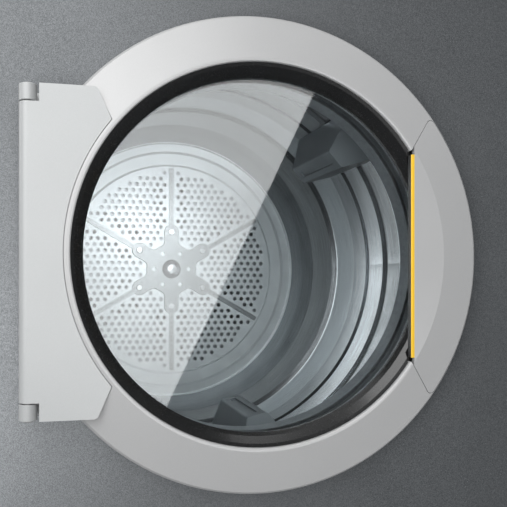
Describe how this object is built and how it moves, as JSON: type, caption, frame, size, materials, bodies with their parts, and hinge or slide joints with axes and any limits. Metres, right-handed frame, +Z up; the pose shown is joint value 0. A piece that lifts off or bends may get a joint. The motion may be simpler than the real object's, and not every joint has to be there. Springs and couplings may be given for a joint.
{
  "type": "tumble dryer",
  "caption": "Front-loading tumble dryer: grey cabinet, round silver-framed glass door on a side hinge with a yellow grip strip, belt-driven drum, blower and lint drawer.",
  "frame": {"origin": "middle of the footprint of the whole machine, on the floor", "axes": "+Z up, the door faces -Y, +X to the right as seen from the front"},
  "size_m": [0.686, 0.7, 0.901],
  "materials": {
    "base_tray": "satin paint",
    "foot_pads": "matte",
    "foot_studs": "zinc plated",
    "side_panel_left": "fine metallic grain",
    "side_panel_right": "fine metallic grain",
    "back_panel": "galvanised",
    "worktop": "fine metallic grain",
    "front_panel": "fine metallic grain",
    "plinth_panel": "fine metallic grain",
    "control_fascia": "fine texture",
    "display_window": "gloss",
    "program_knob": "satin silver",
    "start_button": "satin silver",
    "stop_button": "satin silver",
    "mains_inlet": "matte",
    "hinge_bracket_lower": "satin silver",
    "hinge_bracket_upper": "satin silver",
    "hinge_pins": "ground",
    "hinge_bushes": "moulded",
    "hinge_screws": "plated",
    "hinge_plate": "satin silver",
    "door_ring": "satin silver",
    "handle_plate": "satin silver",
    "handle_strip": "satin",
    "door_bezel": "gloss",
    "door_glass": "clear",
    "glass_gasket": "matte",
    "door_pan": "satin",
    "door_screws": "plated",
    "door_seal": "matte",
    "door_magnet": "matte",
    "catch_plate": "satin",
    "front_bulkhead": "galvanised",
    "felt_seal": "felt",
    "roller_axles": "ground",
    "roller_left": "moulded",
    "roller_right": "moulded",
    "rear_bulkhead": "galvanised",
    "heater_housing": "galvanised",
    "heater_element": "heat-darkened",
    "bearing_housing": "painted",
    "drum_shell": "brushed",
    "drum_back": "satin",
    "drum_star": "satin",
    "star_bolts": "plated",
    "drum_shaft": "ground",
    "lifter_1": "brushed",
    "lifter_2": "brushed",
    "lifter_3": "brushed",
    "drive_belt": "ribbed",
    "motor_body": "cast",
    "motor_shaft": "ground",
    "fan_wheel": "moulded",
    "fan_housing": "moulded",
    "exhaust_duct": "galvanised",
    "lint_duct": "galvanised",
    "lint_drawer": "fine texture",
    "lint_screen": "mesh",
    "idler_arm": "zinc plated",
    "idler_pulley": "moulded"
  },
  "bodies": {
    "cabinet": {"base_tray": "base_tray", "foot_pads": "foot_pads", "foot_studs": "foot_studs", "side_panel_left": "side_panel_left", "side_panel_right": "side_panel_right", "back_panel": "back_panel", "worktop": "worktop", "front_panel": "front_panel", "plinth_panel": "plinth_panel", "control_fascia": "control_fascia", "display_window": "display_window", "mains_inlet": "mains_inlet", "hinge_bracket_lower": "hinge_bracket_lower", "hinge_bracket_upper": "hinge_bracket_upper", "hinge_pins": "hinge_pins", "hinge_screws": "hinge_screws", "catch_plate": "catch_plate", "front_bulkhead": "front_bulkhead", "felt_seal": "felt_seal", "roller_axles": "roller_axles", "rear_bulkhead": "rear_bulkhead", "heater_housing": "heater_housing", "heater_element": "heater_element", "bearing_housing": "bearing_housing", "drive_belt": "drive_belt", "motor_body": "motor_body", "fan_housing": "fan_housing", "exhaust_duct": "exhaust_duct", "lint_duct": "lint_duct"},
    "door": {"hinge_bushes": "hinge_bushes", "hinge_plate": "hinge_plate", "door_ring": "door_ring", "handle_plate": "handle_plate", "handle_strip": "handle_strip", "door_bezel": "door_bezel", "door_glass": "door_glass", "glass_gasket": "glass_gasket", "door_pan": "door_pan", "door_screws": "door_screws", "door_seal": "door_seal", "door_magnet": "door_magnet"},
    "drum": {"drum_shell": "drum_shell", "drum_back": "drum_back", "drum_star": "drum_star", "star_bolts": "star_bolts", "drum_shaft": "drum_shaft", "lifter_1": "lifter_1", "lifter_2": "lifter_2", "lifter_3": "lifter_3"},
    "motor_rotor": {"motor_shaft": "motor_shaft", "fan_wheel": "fan_wheel"},
    "roller_left_body": {"roller_left": "roller_left"},
    "roller_right_body": {"roller_right": "roller_right"},
    "idler_arm_body": {"idler_arm": "idler_arm"},
    "idler_pulley_body": {"idler_pulley": "idler_pulley"},
    "knob": {"program_knob": "program_knob"},
    "start": {"start_button": "start_button"},
    "stop": {"stop_button": "stop_button"},
    "lint_drawer_body": {"lint_drawer": "lint_drawer", "lint_screen": "lint_screen"}
  },
  "joints": [
    {"name": "door_hinge", "type": "hinge", "parent": "cabinet", "child": "door", "pos_m": [-0.2634, -0.3401, 0.453], "axis": [0, 0, -1], "range_deg": [0, 180]},
    {"name": "drum_spin", "type": "hinge", "parent": "cabinet", "child": "drum", "pos_m": [-0.004, 0.247, 0.453], "axis": [0, 1, 0], "continuous": true},
    {"name": "motor_spin", "type": "hinge", "parent": "cabinet", "child": "motor_rotor", "pos_m": [0.178, 0, 0.098], "axis": [0, 1, 0], "continuous": true},
    {"name": "roller_left_spin", "type": "hinge", "parent": "cabinet", "child": "roller_left_body", "pos_m": [-0.19516, -0.243, 0.20832], "axis": [0, 1, 0], "continuous": true},
    {"name": "roller_right_spin", "type": "hinge", "parent": "cabinet", "child": "roller_right_body", "pos_m": [0.18716, -0.243, 0.20832], "axis": [0, 1, 0], "continuous": true},
    {"name": "idler_arm_swing", "type": "hinge", "parent": "cabinet", "child": "idler_arm_body", "pos_m": [0.01045, 0.14, 0.08363], "axis": [0, 1, 0], "range_deg": [0, 15], "stiffness_Nm_per_rad": 2, "springref_deg": -28.65},
    {"name": "idler_pulley_spin", "type": "hinge", "parent": "idler_arm_body", "child": "idler_pulley_body", "pos_m": [0.06245, 0.14, 0.10763], "axis": [0, 1, 0], "continuous": true},
    {"name": "program_knob_turn", "type": "hinge", "parent": "cabinet", "child": "knob", "pos_m": [0.06, -0.313, 0.8285], "axis": [0, 1, 0], "continuous": true},
    {"name": "start_button_push", "type": "slide", "parent": "cabinet", "child": "start", "axis": [0, 1, 0], "range_m": [0, 0.0025], "stiffness_N_per_m": 400, "springref_m": -0.002},
    {"name": "stop_button_push", "type": "slide", "parent": "cabinet", "child": "stop", "axis": [0, 1, 0], "range_m": [0, 0.0025], "stiffness_N_per_m": 400, "springref_m": -0.002},
    {"name": "lint_drawer_slide", "type": "slide", "parent": "cabinet", "child": "lint_drawer_body", "axis": [0, -1, 0], "range_m": [0, 0.17]}
  ],
  "couplings": [
    {"joint": "motor_spin", "follows": "drum_spin", "ratio": 27.97},
    {"joint": "roller_left_spin", "follows": "drum_spin", "ratio": -10.931},
    {"joint": "roller_right_spin", "follows": "drum_spin", "ratio": -10.931},
    {"joint": "idler_pulley_spin", "follows": "drum_spin", "ratio": -15.539}
  ]
}
